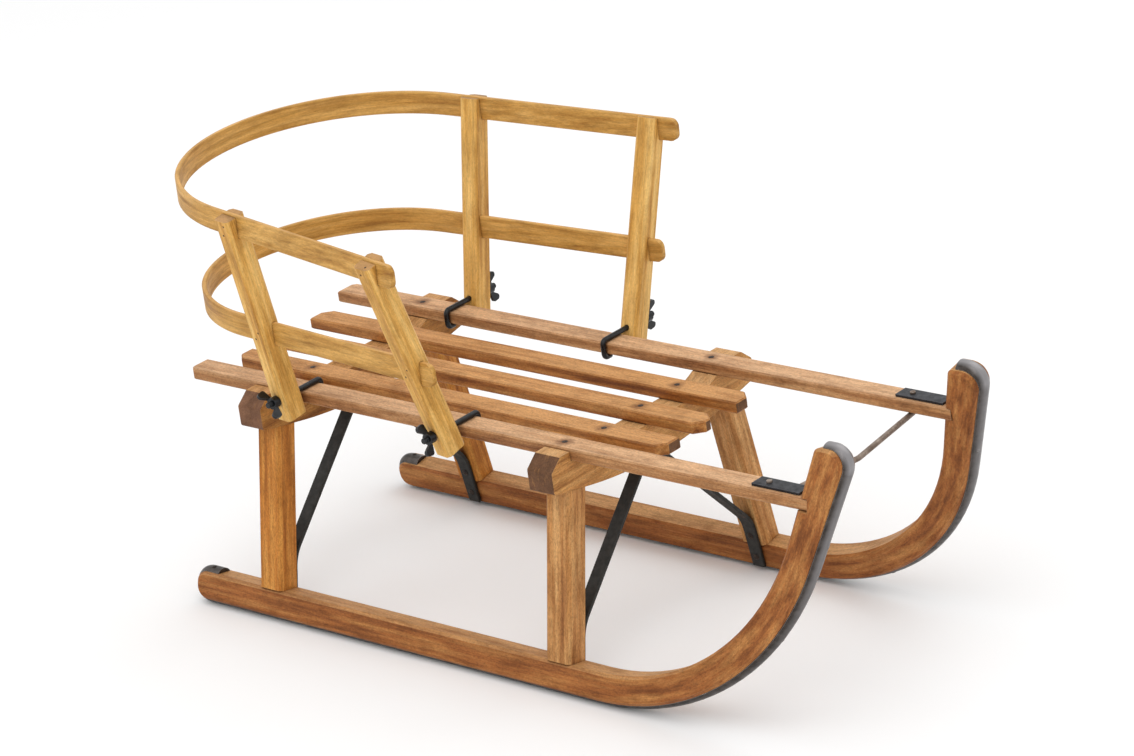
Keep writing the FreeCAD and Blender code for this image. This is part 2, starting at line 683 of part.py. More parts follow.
def make_hoop(name, which, clearance=None, open_top=False):
    """A bent strip round the back of the seat, or the room that it needs in an upright."""
    body = new_body(name)
    slack = as_size(0) if clearance is None else clearance
    radius = getattr(derived, f"{which}_hoop_radius")
    centre = -size(f"{which}_hoop_setback")
    end_x = derived.uprights_apart / 2 + size(f"{which}_hoop_end")
    end_y = getattr(derived, f"{which}_hoop_end_y")
    across = size("hoop_thickness") + slack * 2
    raised = size("hoop_height") / 2 if open_top else as_size(0)
    up = size("hoop_height") + slack * 2 + raised * 2

    route = new_sketch(body, "route", "XY_Plane", height=raised)
    slope = getattr(derived, f"{which}_hoop_slope")
    draw_horseshoe(route, centre, radius, slope, end_x, end_y)
    section = new_sketch(body, "section", "YZ_Plane", height=end_x)
    draw_corners(section, cut_corner_box(across, up, size("hoop_edge"), x=end_y, y=raised))
    pipe(body, "strip", section, route)
    if clearance is None:
        soften(body, "round_ends", lambda edge: is_end_edge(edge, end_x.value, across.value),
               "Fillet", size("hoop_end_round"))
    place(body, x=derived.hoop_pivot_x, z=derived.outer_slat_top + size(f"{which}_hoop_level"),
          turn=(FreeCAD.Vector(0, 1, 0), size(f"{which}_hoop_pitch")))
    return body


def draw_horseshoe(sketch, centre, radius, slope, end_x, end_y):
    """An arc at the back whose two arms run forward and spread apart."""
    circle = Part.Circle(FreeCAD.Vector(centre.value, 0, 0), FreeCAD.Vector(0, 0, 1), radius.value)
    half_turn = math.pi / 2 - math.atan(slope.value)
    bend = sketch.addGeometry(Part.ArcOfCircle(circle, math.pi - half_turn, math.pi + half_turn),
                              False)
    drawn = sketch.Geometry[bend]
    ends = (drawn.StartPoint, drawn.EndPoint)
    tips = [FreeCAD.Vector(end_x.value, end_y.value * side, 0) for side in (LEFT, RIGHT)]
    left, right = [sketch.addGeometry(Part.LineSegment(tip, end), False)
                   for tip, end in zip(tips, ends)]
    fasten(sketch, [("Tangent", (left, 2, bend, 1), None), ("Tangent", (bend, 2, right, 2), None),
                    ("Radius", (bend,), radius)] + point_ties(bend, 3, centre, 0)
           + point_ties(left, 1, end_x, end_y) + point_ties(right, 1, end_x, -end_y))


def is_end_edge(edge, end_x, across):
    """True for the two short edges across a strip's end, at x = end_x."""
    first, last = edge.Vertexes[0], edge.Vertexes[-1]
    at_end = abs(first.X - end_x) < 0.5 and abs(last.X - end_x) < 0.5
    level = abs(first.Z - last.Z) < 1e-6
    return at_end and level and edge.Length > across / 2


def make_upright(name, row, side, rooms):
    """An upright with an open slot for the upper hoop, a mortise and a bolt hole."""
    x, out, tilt = upright_place(row)
    post = new_body(name + "_post")
    plan = new_sketch(post, "plan", "XY_Plane", height=-size("upright_bottom") / cosine(tilt))
    draw_corners(plan, cut_corner_box(size("upright_along"), size("upright_across"),
                                      size("upright_chamfer"), turn=size("upright_turn") * side))
    pad(post, "post", plan, (size(f"{row}_upright_top") + size("upright_bottom")) / cosine(tilt))
    place(post, x=x, y=out * side, z=derived.outer_slat_top, lean_about_x=tilt * -side)
    hole = doc.addObject("Part::Cylinder", name + "_hole")
    bind(hole, "Radius", size("hook_diameter") / 2 + size("hook_hole_gap"))
    bind(hole, "Height", size("upright_across") * 4)
    place(hole, x=x, y=(out - size("upright_across") * 2) if side == LEFT
          else -(out - size("upright_across") * 2), z=derived.hook_level,
          turn=(FreeCAD.Vector(1, 0, 0), as_size(-90) * side))
    cutters = doc.addObject("Part::MultiFuse", name + "_cutters")
    cutters.Shapes = [*rooms, hole]
    upright = doc.addObject("Part::Cut", name)
    upright.Label = name
    upright.Base, upright.Tool = post, cutters
    return upright


def make_hook_bolt(name, row, side):
    """A rod through the upright, over the outer slat and hooked under its inner edge."""
    x, out, tilt = upright_place(row)
    body = new_body(name)
    radius = size("hook_diameter") / 2
    bend = size("hook_bend_radius")
    inner_y = derived.outer_slat_y - size("outer_slat_width") / 2 - radius - gap
    tail_y = out + nut_face(tilt) + size("hook_tail")
    under = derived.outer_seat_z - radius - gap
    route = new_sketch(body, "route", "YZ_Plane")
    corners = [(tail_y, derived.hook_level), (inner_y, derived.hook_level, bend),
               (inner_y, under, bend), (inner_y + size("hook_return"), under)]
    draw_corners(route, [(c[0] * side, *c[1:]) for c in corners], closed=False)
    section = new_sketch(body, "section", "XZ_Plane", height=tail_y * -side)
    draw_circle(section, 0, derived.hook_level, radius)
    pipe(body, "rod", section, route)
    place(body, x=x)
    return body


def nut_face(tilt):
    """How far outside the upright's axis the wing nut's flat face meets the leaning wood."""
    hub_radius = size("nut_hub_diameter") / 2
    rise = size("hook_diameter") / 2 + hub_radius
    return (size("upright_across") / 2 / cosine(tilt) + rise * tangent(tilt)
            + hub_radius * tangent(size("upright_turn")) + size("nut_seat_gap"))


def make_wing_nut(name, row, side):
    x, out, tilt = upright_place(row)
    word = "left" if side == LEFT else "right"
    body = new_body(name)
    hub_radius = size("nut_hub_diameter") / 2
    ring = new_sketch(body, "ring", "XY_Plane")
    draw_circle(ring, 0, 0, hub_radius)
    pad(body, "hub", ring, size("nut_hub_length"))
    wings = new_sketch(body, "wings", "XZ_Plane", roll=size(f"{row}_{word}_nut_turn") * side,
                       roll_axis=(0, 1, 0))
    span, height = size("nut_wing_span") / 2, size("nut_wing_height")
    tip = size("nut_wing_thickness")
    start = size("nut_hub_length") / 2
    half = [(hub_radius - 1, start), (span, height - tip * 3, tip),
            (span - tip / 2, height, tip), (span - tip * 2, height, tip),
            (hub_radius - 1, size("nut_hub_length"))]
    for direction in (LEFT, RIGHT):
        corners = half if direction == LEFT else list(reversed(half))
        draw_corners(wings, [(corner[0] * direction, *corner[1:]) for corner in corners])
    pad(body, "wing_pair", wings, size("nut_wing_thickness"), both_ways=True)
    bore = new_sketch(body, "bore", "XY_Plane", height=size("nut_wing_height"))
    draw_circle(bore, 0, 0, size("hook_diameter") / 2 + size("nut_bore_gap"))
    pocket(body, "thread", bore, size("nut_wing_height") * 2)
    place(body, x=x, y=(out + nut_face(tilt)) * side, z=derived.hook_level,
          turn=(FreeCAD.Vector(1, 0, 0), as_size(-90) * side))
    return body


# ---------------------------------------------------------------- the sled

def make_sled():
    nodes = []
    rows = (("front", derived.leg_row), ("rear", -derived.leg_row))
    sides = (("left", LEFT), ("right", RIGHT))
    for word, side in sides:
        nodes.append(make_runner(f"runner_{word}", side))
        nodes.append(make_shoe(f"runner_shoe_{word}", side))
        nodes.append(make_plate(f"horn_plate_{word}", side))
    for row, row_x in rows:
        nodes.append(make_yoke(f"{row}_yoke", row_x))
        nodes.append(make_stay(f"{row}_stay", row_x))
        for word, side in sides:
            nodes.append(make_leg(f"leg_{row}_{word}", row_x, side))
    nodes += make_slats()
    nodes.append(make_pull_bar("pull_bar"))
    nodes.append(make_hoop("backrest_upper_hoop", "upper"))
    nodes.append(make_hoop("backrest_lower_hoop", "lower"))
    room = size("slot_gap")
    rooms = [make_hoop("upper_slot_room", "upper", clearance=room, open_top=True),
             make_hoop("lower_slot_room", "lower", clearance=room)]
    for row, _ in rows:
        for word, side in sides:
            nodes.append(make_upright(f"upright_{row}_{word}", row, side, rooms))
            nodes.append(make_hook_bolt(f"hook_bolt_{row}_{word}", row, side))
            nodes.append(make_wing_nut(f"wing_nut_{row}_{word}", row, side))
    return nodes


def check_and_write(nodes):
    for item in doc.Objects:
        if "Invalid" in item.State or "Error" in item.State:
            raise RuntimeError(f"{item.Name} failed: {item.State}")
    for node in nodes:
        if node.Shape.isNull() or not node.Shape.isValid():
            raise RuntimeError(f"{node.Label} has no valid shape")
    os.makedirs("parts", exist_ok=True)
    for node in nodes:
        node.Shape.exportStep(f"parts/{node.Label}.step")
        box = node.Shape.BoundBox
        print(f"{node.Label:24s} solids {len(node.Shape.Solids)} volume {node.Shape.Volume:9.0f}"
              f"  x {box.XMin:7.1f} {box.XMax:7.1f}  y {box.YMin:7.1f} {box.YMax:7.1f}"
              f"  z {box.ZMin:6.1f} {box.ZMax:6.1f}")


sled = make_sled()
doc.recompute()
check_and_write(sled)
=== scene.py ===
# %% [markdown]
# # A slatted wooden sled with a bentwood backrest
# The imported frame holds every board, bar and strip at its real place. This script gives them
# their wood, iron and steel, adds the screws, nails and threads, and sets light and camera.

# %% Load the frame
import math
import random

import bpy
from mathutils import Matrix, Vector


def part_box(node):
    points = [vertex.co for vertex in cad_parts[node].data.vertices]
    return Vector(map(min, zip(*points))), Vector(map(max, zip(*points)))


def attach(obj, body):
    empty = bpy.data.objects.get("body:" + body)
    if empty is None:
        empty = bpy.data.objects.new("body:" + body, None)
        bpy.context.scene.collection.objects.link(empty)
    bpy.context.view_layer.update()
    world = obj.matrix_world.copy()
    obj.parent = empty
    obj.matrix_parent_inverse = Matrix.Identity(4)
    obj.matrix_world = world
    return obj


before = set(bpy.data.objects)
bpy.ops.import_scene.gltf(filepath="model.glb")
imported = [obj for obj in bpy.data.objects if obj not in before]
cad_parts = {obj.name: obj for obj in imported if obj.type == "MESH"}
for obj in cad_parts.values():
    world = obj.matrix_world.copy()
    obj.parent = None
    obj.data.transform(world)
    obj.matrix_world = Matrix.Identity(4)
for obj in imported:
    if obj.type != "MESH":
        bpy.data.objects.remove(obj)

MM = 0.001
LEAN = math.radians(11.1)
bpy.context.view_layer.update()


def middle(name):
    low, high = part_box(name)
    return (Vector(low) + Vector(high)) / 2


# %% [markdown]
# ## Shader helpers
# A shader is a small graph. One helper adds a node with its settings and links, so each
# material below reads as a list of what it does to the surface.

# %% Shader helpers
def linear(hex_value):
    """The linear colour of an sRGB hex value such as "a06a38"."""
    channels = [int(hex_value[i:i + 2], 16) / 255 for i in (0, 2, 4)]
    return tuple(c / 12.92 if c <= 0.04045 else ((c + 0.055) / 1.055) ** 2.4
                 for c in channels) + (1.0,)


def grey(level):
    return (level, level, level, 1.0)


def add_node(tree, kind, inputs=None, **settings):
    """Adds a node; an input is a plain value or the output socket that it is linked to."""
    node = tree.nodes.new(kind)
    for name, value in settings.items():
        setattr(node, name, value)
    for name, value in (inputs or {}).items():
        if isinstance(value, bpy.types.NodeSocket):
            tree.links.new(value, node.inputs[name])
        else:
            node.inputs[name].default_value = value
    return node


def new_material(name):
    """A material with its shader, and the object coordinates that its textures use."""
    material = bpy.data.materials.new(name)
    material.use_nodes = True
    tree = material.node_tree
    tree.nodes.clear()
    shader = add_node(tree, "ShaderNodeBsdfPrincipled")
    output = add_node(tree, "ShaderNodeOutputMaterial")
    tree.links.new(shader.outputs["BSDF"], output.inputs["Surface"])
    place = add_node(tree, "ShaderNodeTexCoord").outputs["Object"]
    return material, tree, shader, place


def ramp(tree, factor, stops):
    """A colour ramp: stops are (position, colour) pairs."""
    node = add_node(tree, "ShaderNodeValToRGB", {"Fac": factor})
    elements = node.color_ramp.elements
    while len(elements) < len(stops):
        elements.new(0.5)
    for element, (position, colour) in zip(elements, stops):
        element.position = position
        element.color = colour
    return node.outputs["Color"]


def mix(tree, factor, first, second, blend="MIX"):
    node = add_node(tree, "ShaderNodeMix", {0: factor, 6: first, 7: second},
                    data_type="RGBA", blend_type=blend)
    return node.outputs[2]


def maths(tree, operation, first, second=0.0):
    return add_node(tree, "ShaderNodeMath", {0: first, 1: second},
                    operation=operation).outputs[0]


def choose(tree, factor, first, second):
    """The first number where factor is 0, the second where it is 1."""
    return add_node(tree, "ShaderNodeMix", {0: factor, 2: first, 3: second}).outputs[0]


def noise(tree, place, size, stretch=(1, 1, 1), detail=5.0, roughness=0.6, shift=0.0):
    """Noise whose blobs are about size metres across before the stretch along each axis."""
    scale = tuple(1.0 / (size * amount) for amount in stretch)
    moved = add_node(tree, "ShaderNodeMapping",
                     {"Vector": place, "Location": (shift, shift * 1.7, -shift), "Scale": scale})
    return add_node(tree, "ShaderNodeTexNoise",
                    {"Vector": moved.outputs["Vector"], "Scale": 1.0, "Detail": detail,
                     "Roughness": roughness}).outputs["Fac"]


# %% [markdown]
# ## The way the grain runs
# A board's grain is straight, so its coordinates are only turned. The runners and the hoops
# are bent wood: their grain goes round the bend with them, so their coordinates are unrolled
# along the bend, as (along the strip, across it, across it).

# %% Grain coordinates
def straight_grain(direction):
    def unroll(tree, place):
        turn = Vector(direction).rotation_difference(Vector((1, 0, 0))).to_euler()
        return add_node(tree, "ShaderNodeMapping", {"Vector": place, "Rotation": turn},
                        vector_type="POINT").outputs["Vector"]
    return unroll


def bent_grain(centre, radius, up, out, flat_sign, sweep=None):
    """Coordinates along a strip that is straight up to the bend's centre, then goes round it.

    up and out name the axes that the strip's straight part and its bend lie in. A sweep is
    the angle where the bend ends and the strip runs straight on."""
    def unroll(tree, place):
        local = add_node(tree, "ShaderNodeVectorMath", {0: place, 1: centre},
                         operation="SUBTRACT").outputs["Vector"]
        axes = add_node(tree, "ShaderNodeSeparateXYZ", {"Vector": local}).outputs
        run, rise = axes["X"], axes[up]
        forward = maths(tree, "MULTIPLY", run, flat_sign)
        side = maths(tree, "MULTIPLY", rise, -1.0) if up == "Z" else maths(tree, "ABSOLUTE", rise)
        in_bend = maths(tree, "MAXIMUM", forward, 0.0)
        angle = maths(tree, "ARCTAN2", in_bend, side)
        arc = maths(tree, "MULTIPLY", angle, radius)
        before = maths(tree, "MINIMUM", forward, 0.0)
        along = maths(tree, "ADD", arc, before)
        squares = maths(tree, "ADD", maths(tree, "MULTIPLY", in_bend, in_bend),
                        maths(tree, "MULTIPLY", side, side))
        across = maths(tree, "SQRT", squares)
        if sweep is not None:
            cosine, sine = math.cos(sweep), math.sin(sweep)
            onward = maths(tree, "SUBTRACT", maths(tree, "MULTIPLY", forward, cosine),
                           maths(tree, "MULTIPLY", side, sine))
            outward = maths(tree, "ADD", maths(tree, "MULTIPLY", forward, sine),
                            maths(tree, "MULTIPLY", side, cosine))
            past = maths(tree, "GREATER_THAN", onward, 0.0)
            along = choose(tree, past, along, maths(tree, "ADD", onward, radius * sweep))
            across = choose(tree, past, across, outward)
        return add_node(tree, "ShaderNodeCombineXYZ",
                        {"X": along, "Y": axes[out], "Z": across}).outputs["Vector"]
    return unroll


# %% [markdown]
# ## Wood
# Varnished beech that has been sledded on and left to dry. What gives it to the eye: a soft
# figure along the grain, a fine fleck all over, short dark pores, blotches of dirt, top faces
# painted paler as if lit from above, dark end grain, dirt and painted shade where pieces meet,
# knocked edges, and rust that has bled into the wood round the screws.

# %% Wood
def wood(name, tones, unroll, seed, end=None, end_from=0.86, stains=(), rough=0.5, dirt=0.6,
         fleck_share=0.8):
    """tones: dark, middle, pale, top-face and end-grain hex values. The top-face tone is painted
    on faces that point up, as if lit from above, and on knocked edges.

    end is the way that the end grain faces, and end_from the least it has to face that way."""
    material, tree, shader, place = new_material(name)
    dark, base, pale, lit_top_and_edge_tone, end_tone = (linear(tone) for tone in tones)
    along = unroll(tree, place)
    shift = seed * 0.731
    figure = noise(tree, along, 9 * MM, (16, 1, 1), 5.0, 0.62, shift)
    streaks = noise(tree, along, 3 * MM, (26, 1, 1), 3.0, 0.55, shift + 11)
    fibres = noise(tree, along, 0.9 * MM, (14, 1, 1), 4.0, 0.65, shift + 3)
    pores = noise(tree, along, 0.8 * MM, (7, 1, 1), 2.0, 0.5, shift + 5)
    blotches = noise(tree, along, 18 * MM, (2.4, 1, 1), 6.0, 0.66, shift + 7)
    fleck = noise(tree, along, 1.5 * MM, (2.2, 1, 1), 3.0, 0.75, shift + 9)

    colour = ramp(tree, figure, ((0.30, dark), (0.46, base), (0.66, pale)))
    # Painted light: faces that point up are painted paler, as if lit from above.
    normal = add_node(tree, "ShaderNodeNewGeometry").outputs["Normal"]
    level = add_node(tree, "ShaderNodeSeparateXYZ", {"Vector": normal}).outputs["Z"]
    painted_top_light = mix(tree, ramp(tree, figure, ((0.28, grey(0.35)), (0.52, grey(1.0)))),
                   base, lit_top_and_edge_tone)
    painted_top_light_mask = ramp(tree, level, ((0.62, grey(0.0)), (0.90, grey(0.95))))
    colour = mix(tree, painted_top_light_mask, colour, painted_top_light)
    layers = (
        (streaks, 0.55, ((0.34, grey(0.72)), (0.50, grey(1.02)), (0.66, grey(1.14)))),
        (fibres, 0.6, ((0.32, grey(0.74)), (0.50, grey(1.03)), (0.70, grey(1.24)))),
        (fleck, fleck_share, ((0.28, grey(0.52)), (0.48, grey(1.0)), (0.70, grey(1.34)))),
        (pores, 0.45, ((0.24, grey(0.42)), (0.36, grey(1.0)))),
    )
    for pattern, strength, stops in layers:
        colour = mix(tree, strength, colour, ramp(tree, pattern, stops), "MULTIPLY")
    blotch_tone = ramp(tree, blotches, ((0.32, (0.56, 0.48, 0.42, 1)), (0.50, grey(1.0)),
                                        (0.70, (1.16, 1.13, 1.08, 1))))
    colour = mix(tree, dirt, colour, blotch_tone, "MULTIPLY")

    if end is not None:
        facing = add_node(tree, "ShaderNodeVectorMath", {0: normal, 1: end},
                          operation="DOT_PRODUCT").outputs["Value"]
        on_end = ramp(tree, maths(tree, "ABSOLUTE", facing),
                      ((end_from - 0.06, grey(0.0)), (end_from + 0.04, grey(0.95))))
        rings = add_node(tree, "ShaderNodeTexWave",
                         {"Vector": add_node(tree, "ShaderNodeMapping",
                                             {"Vector": along, "Scale": (0.0, 1.0, 0.35)})
                          .outputs["Vector"], "Scale": 1 / (9 * MM), "Distortion": 5.0,
                          "Detail": 3.0, "Detail Scale": 1.5}).outputs["Fac"]
        ring_tone = mix(tree, ramp(tree, rings, ((0.2, grey(0.0)), (0.8, grey(1.0)))),
                        end_tone, mix(tree, 0.3, end_tone, base))
        for pattern, strength, stops in (layers[2], (blotches, 0.7, (
                (0.35, grey(0.5)), (0.55, grey(1.0)), (0.7, grey(1.25))))):
            ring_tone = mix(tree, strength, ring_tone, ramp(tree, pattern, stops), "MULTIPLY")
        colour = mix(tree, on_end, colour, ring_tone)

    for stain in stains:
        reach = add_node(tree, "ShaderNodeVectorMath", {0: place, 1: stain},
                         operation="DISTANCE").outputs["Value"]
        ragged = maths(tree, "ADD", reach, maths(tree, "MULTIPLY", blotches, 10 * MM))
        mask = ramp(tree, maths(tree, "MULTIPLY", ragged, 1 / (20 * MM)),
                    ((0.40, grey(0.8)), (0.85, grey(0.0))))
        colour = mix(tree, mask, colour, (0.30, 0.22, 0.18, 1), "MULTIPLY")

    # Dirt and painted shade: corners and the places where pieces meet are darkened by occlusion.
    corners = add_node(tree, "ShaderNodeAmbientOcclusion", {"Distance": 9 * MM},
                       samples=6).outputs["AO"]
    grime_and_painted_shade = ramp(tree, corners, ((0.28, (0.24, 0.17, 0.13, 1)), (0.66, grey(1.0))))
    colour = mix(tree, 0.75, colour, grime_and_painted_shade, "MULTIPLY")

    rounded = add_node(tree, "ShaderNodeBevel", {"Radius": 1.0 * MM}, samples=6)
    sameness = add_node(tree, "ShaderNodeVectorMath",
                        {0: rounded.outputs["Normal"], 1: normal},
                        operation="DOT_PRODUCT").outputs["Value"]
    knocked = maths(tree, "MULTIPLY", ramp(tree, sameness, ((0.90, grey(1.0)), (0.99, grey(0.0)))),
                    ramp(tree, blotches, ((0.40, grey(0.0)), (0.60, grey(0.7)))))
    colour = mix(tree, knocked, colour, lit_top_and_edge_tone)

    height = maths(tree, "ADD", maths(tree, "MULTIPLY", fibres, 0.5),
                   maths(tree, "ADD", maths(tree, "MULTIPLY", fleck, 0.6), figure))
    bump = add_node(tree, "ShaderNodeBump", {"Height": height, "Strength": 0.5,
                                             "Distance": 0.35 * MM,
                                             "Normal": rounded.outputs["Normal"]})
    tree.links.new(bump.outputs["Normal"], shader.inputs["Normal"])
    tree.links.new(colour, shader.inputs["Base Color"])
    tree.links.new(ramp(tree, blotches, ((0.3, grey(rough + 0.2)), (0.7, grey(rough)))),
                   shader.inputs["Roughness"])
    shader.inputs["Specular IOR Level"].default_value = 0.22
    return material


# Each kind's tones: dark streak, middle, pale streak, top face painted paler as if lit from above
# (also the knocked edges), end grain.
RUNNER = ("6c3d1a", "8f5527", "ae7740", "b98b59", "4a3018")
OUTER_SLAT = ("77492a", "9c6c42", "bb8e61", "cca27a", "6b4a30")
INNER_SLAT = ("6c3a14", "965e2b", "b58148", "c28f5a", "5f4028")
FRONT_YOKE = ("835326", "b07b42", "cb9a5c", "c69a68", "5a3b27")
REAR_YOKE = ("6c3e14", "96632b", "b58141", "c2925d", "74503a")
FRONT_LEG = ("83522a", "ad7843", "c89a63", "c3965f", "6b472b")
REAR_LEG = ("84480f", "ad6c28", "c68a41", "c08c50", "6b472b")
UPRIGHT = ("a8742f", "cb9a4d", "e3ba70", "e0b46e", "b08452")
HOOP = ("96662a", "b88942", "d2a45c", "cfa05e", "a07444")


# %% [markdown]
# ## Metal
# The hooks and wing nuts are painted black and shine where hands have been. The stays are
# dull grey black. The shoes are bare steel, dark with age, with a painted highlight on the
# broad face of the bend at the front; the pull bar is brown with thin rust. Every metal's
# edges are painted lighter, as wear and highlight, and its corners and seams darker, as painted
# shade.

# %% Metal
def metal(name, base, worn, edge, rust, rust_share, rough, metallic, scratches=0.0, bump=0.3,
          painted_highlight=None):
    """Iron or steel: worn patches, edges painted lighter as wear and highlight, painted shade in
    corners and seams, rust spots, fine scratches, a rolled surface.

    painted_highlight is the tone painted on a strip's broad face where it does not face down, as a
    highlight: on the bend at the front, and not on its sides, its underside or its tail."""
    material, tree, shader, place = new_material(name)
    scuffs = noise(tree, place, 9 * MM, (1, 1, 1), 7.0, 0.7)
    spots = noise(tree, place, 3.5 * MM, (1, 1, 1), 5.0, 0.6, 2.3)
    lines = noise(tree, place, 0.7 * MM, (60, 1, 1), 3.0, 0.6, 4.1)
    colour = ramp(tree, scuffs, ((0.38, linear(base)), (0.66, linear(worn))))
    colour = mix(tree, scratches, colour,
                 ramp(tree, lines, ((0.35, grey(0.55)), (0.65, grey(1.35)))), "MULTIPLY")
    normal = add_node(tree, "ShaderNodeNewGeometry").outputs["Normal"]
    rounded = add_node(tree, "ShaderNodeBevel", {"Radius": 0.8 * MM}, samples=6)
    # Painted highlight: a bright steel tone on the shoe's broad faces that don't face down, at the
    # front.
    if painted_highlight is not None:
        facing = add_node(tree, "ShaderNodeSeparateXYZ", {"Vector": rounded.outputs["Normal"]})
        broad = ramp(tree, maths(tree, "ABSOLUTE", facing.outputs["Y"]),
                     ((0.30, grey(1.0)), (0.72, grey(0.0))))
        lifted = ramp(tree, maths(tree, "ADD", facing.outputs["Z"], 1.0),
                      ((0.35, grey(0.0)), (0.95, grey(1.0))))
        ahead = ramp(tree, add_node(tree, "ShaderNodeSeparateXYZ", {"Vector": place}).outputs["X"],
                     ((0.05, grey(0.0)), (0.20, grey(1.0))))
        highlight_mask = maths(tree, "MULTIPLY", maths(tree, "MULTIPLY", broad, lifted), ahead)
        colour = mix(tree, highlight_mask, colour, linear(painted_highlight))
    rusty = ramp(tree, spots, ((0.70 - rust_share, grey(0.0)), (0.80 - rust_share, grey(0.85))))
    colour = mix(tree, rusty, colour, linear(rust))
    # Painted shade: corners and seams, such as the one between shoe and wood, are darkened by
    # occlusion.
    corners = add_node(tree, "ShaderNodeAmbientOcclusion", {"Distance": 5 * MM},
                       samples=6).outputs["AO"]
    colour = mix(tree, 0.8, colour, ramp(tree, corners, ((0.25, grey(0.18)), (0.75, grey(1.0)))),
                 "MULTIPLY")
    # Edges are painted lighter: partly bare worn metal, partly a painted highlight.
    sameness = add_node(tree, "ShaderNodeVectorMath",
                        {0: rounded.outputs["Normal"], 1: normal},
                        operation="DOT_PRODUCT").outputs["Value"]
    colour = mix(tree, ramp(tree, sameness, ((0.88, grey(0.9)), (0.985, grey(0.0)))), colour,
                 linear(edge))
    relief = add_node(tree, "ShaderNodeBump",
                      {"Height": spots, "Strength": bump, "Distance": 0.25 * MM,
                       "Normal": rounded.outputs["Normal"]})
    tree.links.new(relief.outputs["Normal"], shader.inputs["Normal"])
    tree.links.new(colour, shader.inputs["Base Color"])
    tree.links.new(mix(tree, rusty, ramp(tree, scuffs, ((0.3, grey(rough + 0.12)),
                                                        (0.7, grey(rough - 0.08)))), grey(0.85)),
                   shader.inputs["Roughness"])
    tree.links.new(mix(tree, rusty, grey(metallic), grey(0.1)), shader.inputs["Metallic"])
    return material


# Each metal: base, worn patch, edge (worn bare, with painted highlight), rust, share of rust,
# roughness, metallic.
black_paint = metal("black_painted_iron", "0b0c0e", "1d2023", "3a3d42", "2c1a10", 0.0, 0.30, 0.35)
stay_iron = metal("dull_stay_iron", "1c1c19", "2d2c29", "3b3935", "3a2a1e", 0.02, 0.58, 0.3,
                  bump=0.15)
plate_iron = metal("dark_plate_iron", "1f2024", "3c3d42", "6a6b70", "3a2a1e", 0.02, 0.45, 0.6)
# The shoe gets a painted highlight on its bend at the front.
shoe_steel = metal("worn_shoe_steel", "342f2b", "524c49", "a5a19f", "4a3527", 0.0, 0.34, 0.85,
                   0.15, bump=0.02, painted_highlight="8f8c8d")
rod_steel = metal("weathered_rod_steel", "6a5a4e", "9a8c80", "a89c90", "6b4e38", 0.10, 0.5, 0.5)
screw_iron = metal("dark_screw_iron", "1d1612", "3c3029", "5a4c42", "38200f", 0.14, 0.5, 0.5)
nail_iron = metal("dark_nail_iron", "17110d", "33261d", "4a3a2c", "331d10", 0.12, 0.6, 0.4)
print("metals made")


# %% [markdown]
# ## Where the fixings sit
# A ray finds the surface that each screw or nail is driven into, and the way it faces. The
# same points tell the wood where rust has bled round a screw.

# %% Fixing places
shake = random.Random(11)


def land(name, start, direction, wander=0.0):
    """Where a ray from start first meets a node, and that surface's normal."""
    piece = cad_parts[name]
    start = Vector(start) + Vector([shake.uniform(-wander, wander) for _ in range(3)])
    found, spot, normal, _ = piece.ray_cast(start, Vector(direction).normalized())
    if not found:
        raise RuntimeError(f"no surface of {name} under {tuple(start)}")
    return spot, normal


SLATS = ("slat_outer_left", "slat_inner_left", "slat_middle", "slat_inner_right",
         "slat_outer_right")
SIDES = (("left", 1), ("right", -1))
DOWN = (0, 0, -1)
slat_screws = {name: [land(name, (middle(yoke).x, middle(name).y, 0.6), DOWN, 1.5 * MM)
                      for yoke in ("front_yoke", "rear_yoke")] for name in SLATS}
stay_screws, shoe_screws, nails, tab_nails, bolt_ends = [], [], [], [], []
for word, side in SIDES:
    for row in ("front", "rear"):
        stay = f"{row}_stay"
        for height in (19 * MM, 46 * MM):
            stay_screws.append(land(stay, (middle(stay).x, 0, height), (0, side, 0)))
        upright = f"upright_{row}_{word}"
        for hoop, drop in (("backrest_upper_hoop", -2), ("backrest_lower_hoop", 1)):
            for step in (-5, 5):
                start = (middle(upright).x + step * 0.6 * MM, 0.4 * side,
                         middle(hoop).z + (step + drop) * MM)
                nails.append(land(upright, start, (0, -side, 0), 1.0 * MM))
        bolt = f"hook_bolt_{row}_{word}"
        low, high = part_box(bolt)
        end_y = high[1] if side > 0 else low[1]
        bolt_ends.append((Vector((middle(bolt).x, end_y, high[2] - 3 * MM)), Vector((0, side, 0))))
    shoe = f"runner_shoe_{word}"
    low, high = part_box(shoe)
    for height in (0.030, 0.110, 0.215):
        out_y = middle(f"runner_{word}").y + side * (0.142 - height) * math.tan(LEAN)
        shoe_screws.append(land(shoe, (high[0] + 0.1, out_y, height), (-1, 0, 0)))
    tab_nails.append(land(shoe, (low[0] + 24 * MM, side * 0.1685, 0.1), DOWN))
    for yoke in ("front_yoke", "rear_yoke"):
        outer = f"slat_outer_{word}"
        nails.append(land(outer, (middle(yoke).x + 9 * MM, 0.3 * side, middle(outer).z),
                          (0, -side, 0)))
print("fixings:", 10, "slat screws,", len(stay_screws), "stay screws,", len(shoe_screws),
      "shoe screws,", len(nails), "nails,", len(bolt_ends), "threads")


# %% [markdown]
# ## Screws, nails and threads
# Each kind is one Geometry Nodes group. It puts a head on every point of a small point mesh,
# turned to the way that point faces, with a spin of its own, and gives it its material. The
# result is kept as a plain mesh.

